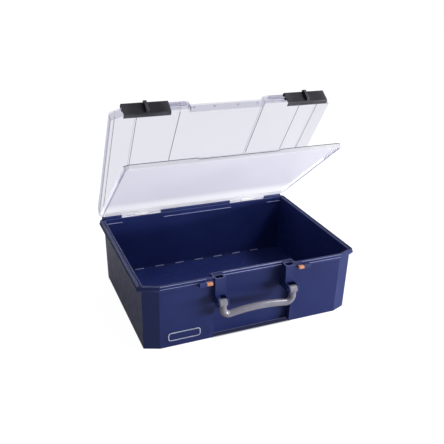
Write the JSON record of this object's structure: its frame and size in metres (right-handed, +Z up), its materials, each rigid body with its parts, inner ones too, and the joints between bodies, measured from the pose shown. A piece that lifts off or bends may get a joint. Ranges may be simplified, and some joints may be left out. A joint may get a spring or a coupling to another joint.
{
  "type": "compartment organizer case",
  "caption": "Deep plastic organizer case with an open tray, a clear outer lid and a clear inner lid on shared hinge pins, sliding latches and a front carrying handle.",
  "frame": {"origin": "middle of the flat underside of the tray", "axes": "+X to the right seen from the front, +Y to the hinged rear edge, +Z up; the handle is on the -Y face"},
  "size_m": [0.413, 0.3461, 0.4012],
  "materials": {
    "case_plastic": "dark blue moulded polypropylene with a fine grain",
    "clear_plastic": "clear polished polycarbonate",
    "latch_plastic": "dark grey satin moulding",
    "handle_plastic": "mid grey satin moulding",
    "marker_plastic": "orange satin moulding",
    "pin_steel": "drawn steel rod",
    "pin_acetal": "white drawn acetal rod"
  },
  "bodies": {
    "case": {"case_tray": "case_plastic", "handle_pin_left": "pin_steel", "handle_pin_right": "pin_steel", "hinge_pin_left": "pin_acetal", "hinge_pin_right": "pin_acetal", "lock_marker_left": "marker_plastic", "lock_marker_right": "marker_plastic"},
    "outer lid": {"outer_lid": "clear_plastic"},
    "inner lid": {"inner_lid": "clear_plastic"},
    "left latch": {"latch_left": "latch_plastic"},
    "right latch": {"latch_right": "latch_plastic"},
    "handle": {"carry_handle": "handle_plastic"}
  },
  "joints": [
    {"name": "outer_lid_hinge", "type": "hinge", "parent": "case", "child": "outer lid", "pos_m": [0, 0.158, 0.1255], "axis": [-1, 0, 0], "range_deg": [-55, 50]},
    {"name": "inner_lid_hinge", "type": "hinge", "parent": "case", "child": "inner lid", "pos_m": [0, 0.158, 0.1255], "axis": [-1, 0, 0], "range_deg": [-37, 33.64]},
    {"name": "left_latch_slide", "type": "slide", "parent": "outer lid", "child": "left latch", "axis": [1, 0, 0], "range_m": [0, 0.027]},
    {"name": "right_latch_slide", "type": "slide", "parent": "outer lid", "child": "right latch", "axis": [-1, 0, 0], "range_m": [0, 0.027]},
    {"name": "handle_swing", "type": "hinge", "parent": "case", "child": "handle", "pos_m": [0, -0.17, 0.0825], "axis": [-1, 0, 0], "range_deg": [-30, 100]}
  ],
  "couplings": [
    {"joint": "inner_lid_hinge", "follows": "outer_lid_hinge", "ratio": 0.67273}
  ]
}
